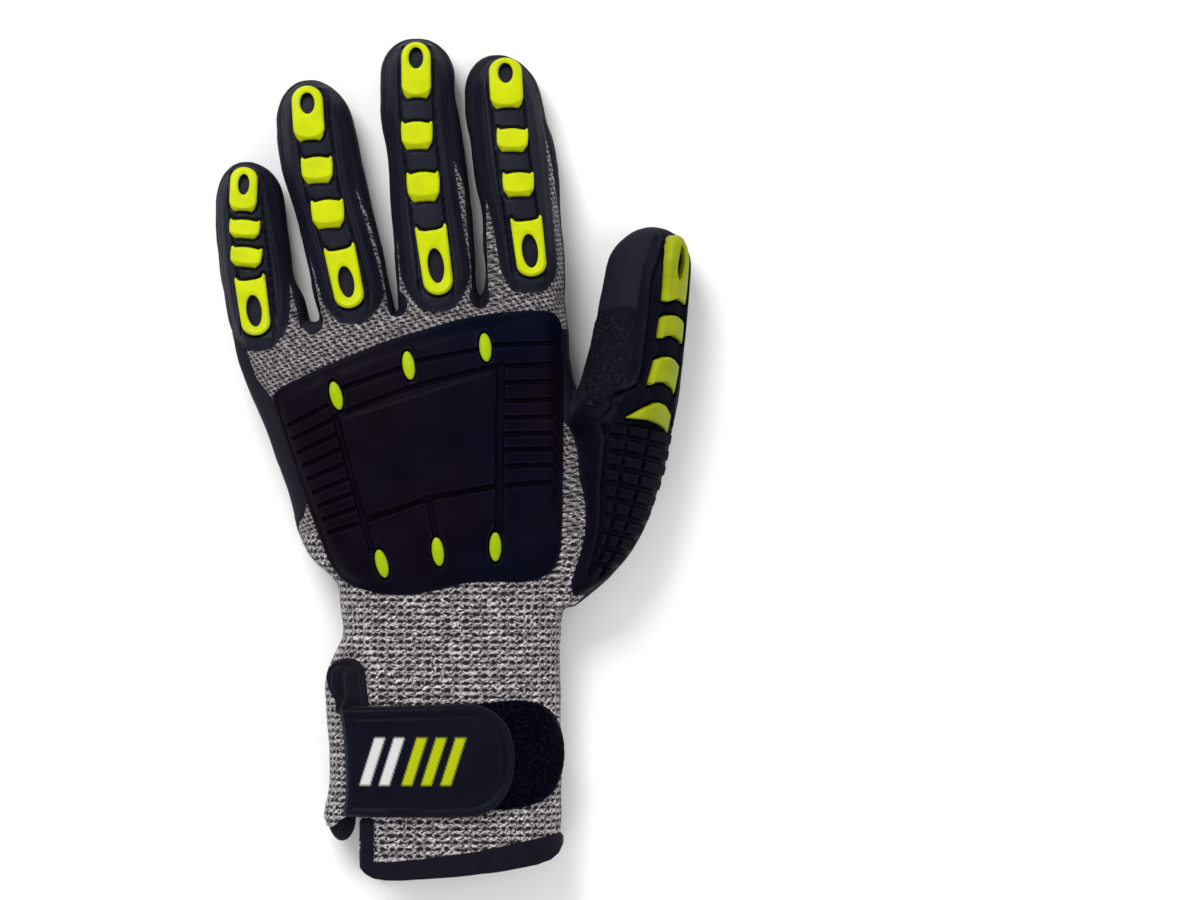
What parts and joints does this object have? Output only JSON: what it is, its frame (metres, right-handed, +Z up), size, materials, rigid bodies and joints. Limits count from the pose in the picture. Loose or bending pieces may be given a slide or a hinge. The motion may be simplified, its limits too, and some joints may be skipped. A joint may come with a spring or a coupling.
{
  "type": "impact glove",
  "caption": "Left-hand knitted work glove with a dipped palm, moulded rubber guards on its back and fingers, and a hook-and-loop wrist strap.",
  "frame": {"origin": "under the middle of the glove, on the surface it lies on", "axes": "+Z up out of the back of the hand, +Y towards the fingertips, +X towards the thumb"},
  "size_m": [0.1482, 0.2608, 0.0323],
  "materials": {
    "knit": "coarse marled cut-resistant knit",
    "coating": "matt sandy nitrile dip",
    "binding": "folded woven tape",
    "gusset": "soft stretch knit",
    "guard_rubber": "satin moulded thermoplastic rubber",
    "pad_green": "satin moulded thermoplastic rubber",
    "plate_rubber": "satin moulded thermoplastic rubber",
    "lens_green": "satin moulded thermoplastic rubber",
    "thumb_green": "satin moulded thermoplastic rubber",
    "grip_patch": "rough coated reinforcement cloth",
    "loop": "brushed nylon loop",
    "strap_tape": "woven tape with a hook underside",
    "strap_rubber": "satin moulded rubber"
  },
  "bodies": {
    "root": {"knit_back": "knit", "cuff_knit": "knit", "index_knit": "knit", "middle_knit": "knit", "ring_knit": "knit", "pinky_knit": "knit", "coated_palm": "coating", "index_coating": "coating", "middle_coating": "coating", "ring_coating": "coating", "pinky_coating": "coating", "cuff_hem": "binding", "slit_gusset": "gusset", "index_guard": "guard_rubber", "index_tip_pad": "pad_green", "index_upper_bar": "pad_green", "index_lower_bar": "pad_green", "index_base_pad": "pad_green", "middle_guard": "guard_rubber", "middle_tip_pad": "pad_green", "middle_upper_bar": "pad_green", "middle_lower_bar": "pad_green", "middle_base_pad": "pad_green", "ring_guard": "guard_rubber", "ring_tip_pad": "pad_green", "ring_upper_bar": "pad_green", "ring_lower_bar": "pad_green", "ring_base_pad": "pad_green", "pinky_guard": "guard_rubber", "pinky_tip_pad": "pad_green", "pinky_upper_bar": "pad_green", "pinky_lower_bar": "pad_green", "pinky_base_pad": "pad_green", "back_plate": "plate_rubber", "plate_lens_1": "lens_green", "plate_lens_2": "lens_green", "plate_lens_3": "lens_green", "plate_lens_4": "lens_green", "plate_lens_5": "lens_green", "plate_lens_6": "lens_green", "thumb_guard": "guard_rubber", "thumb_tip_pad": "thumb_green", "thumb_upper_bar": "thumb_green", "thumb_lower_bar": "thumb_green", "thumb_wedge": "thumb_green", "thumb_patch": "grip_patch", "loop_patch": "loop", "strap": "strap_tape", "strap_patch": "strap_rubber"}
  },
  "joints": []
}
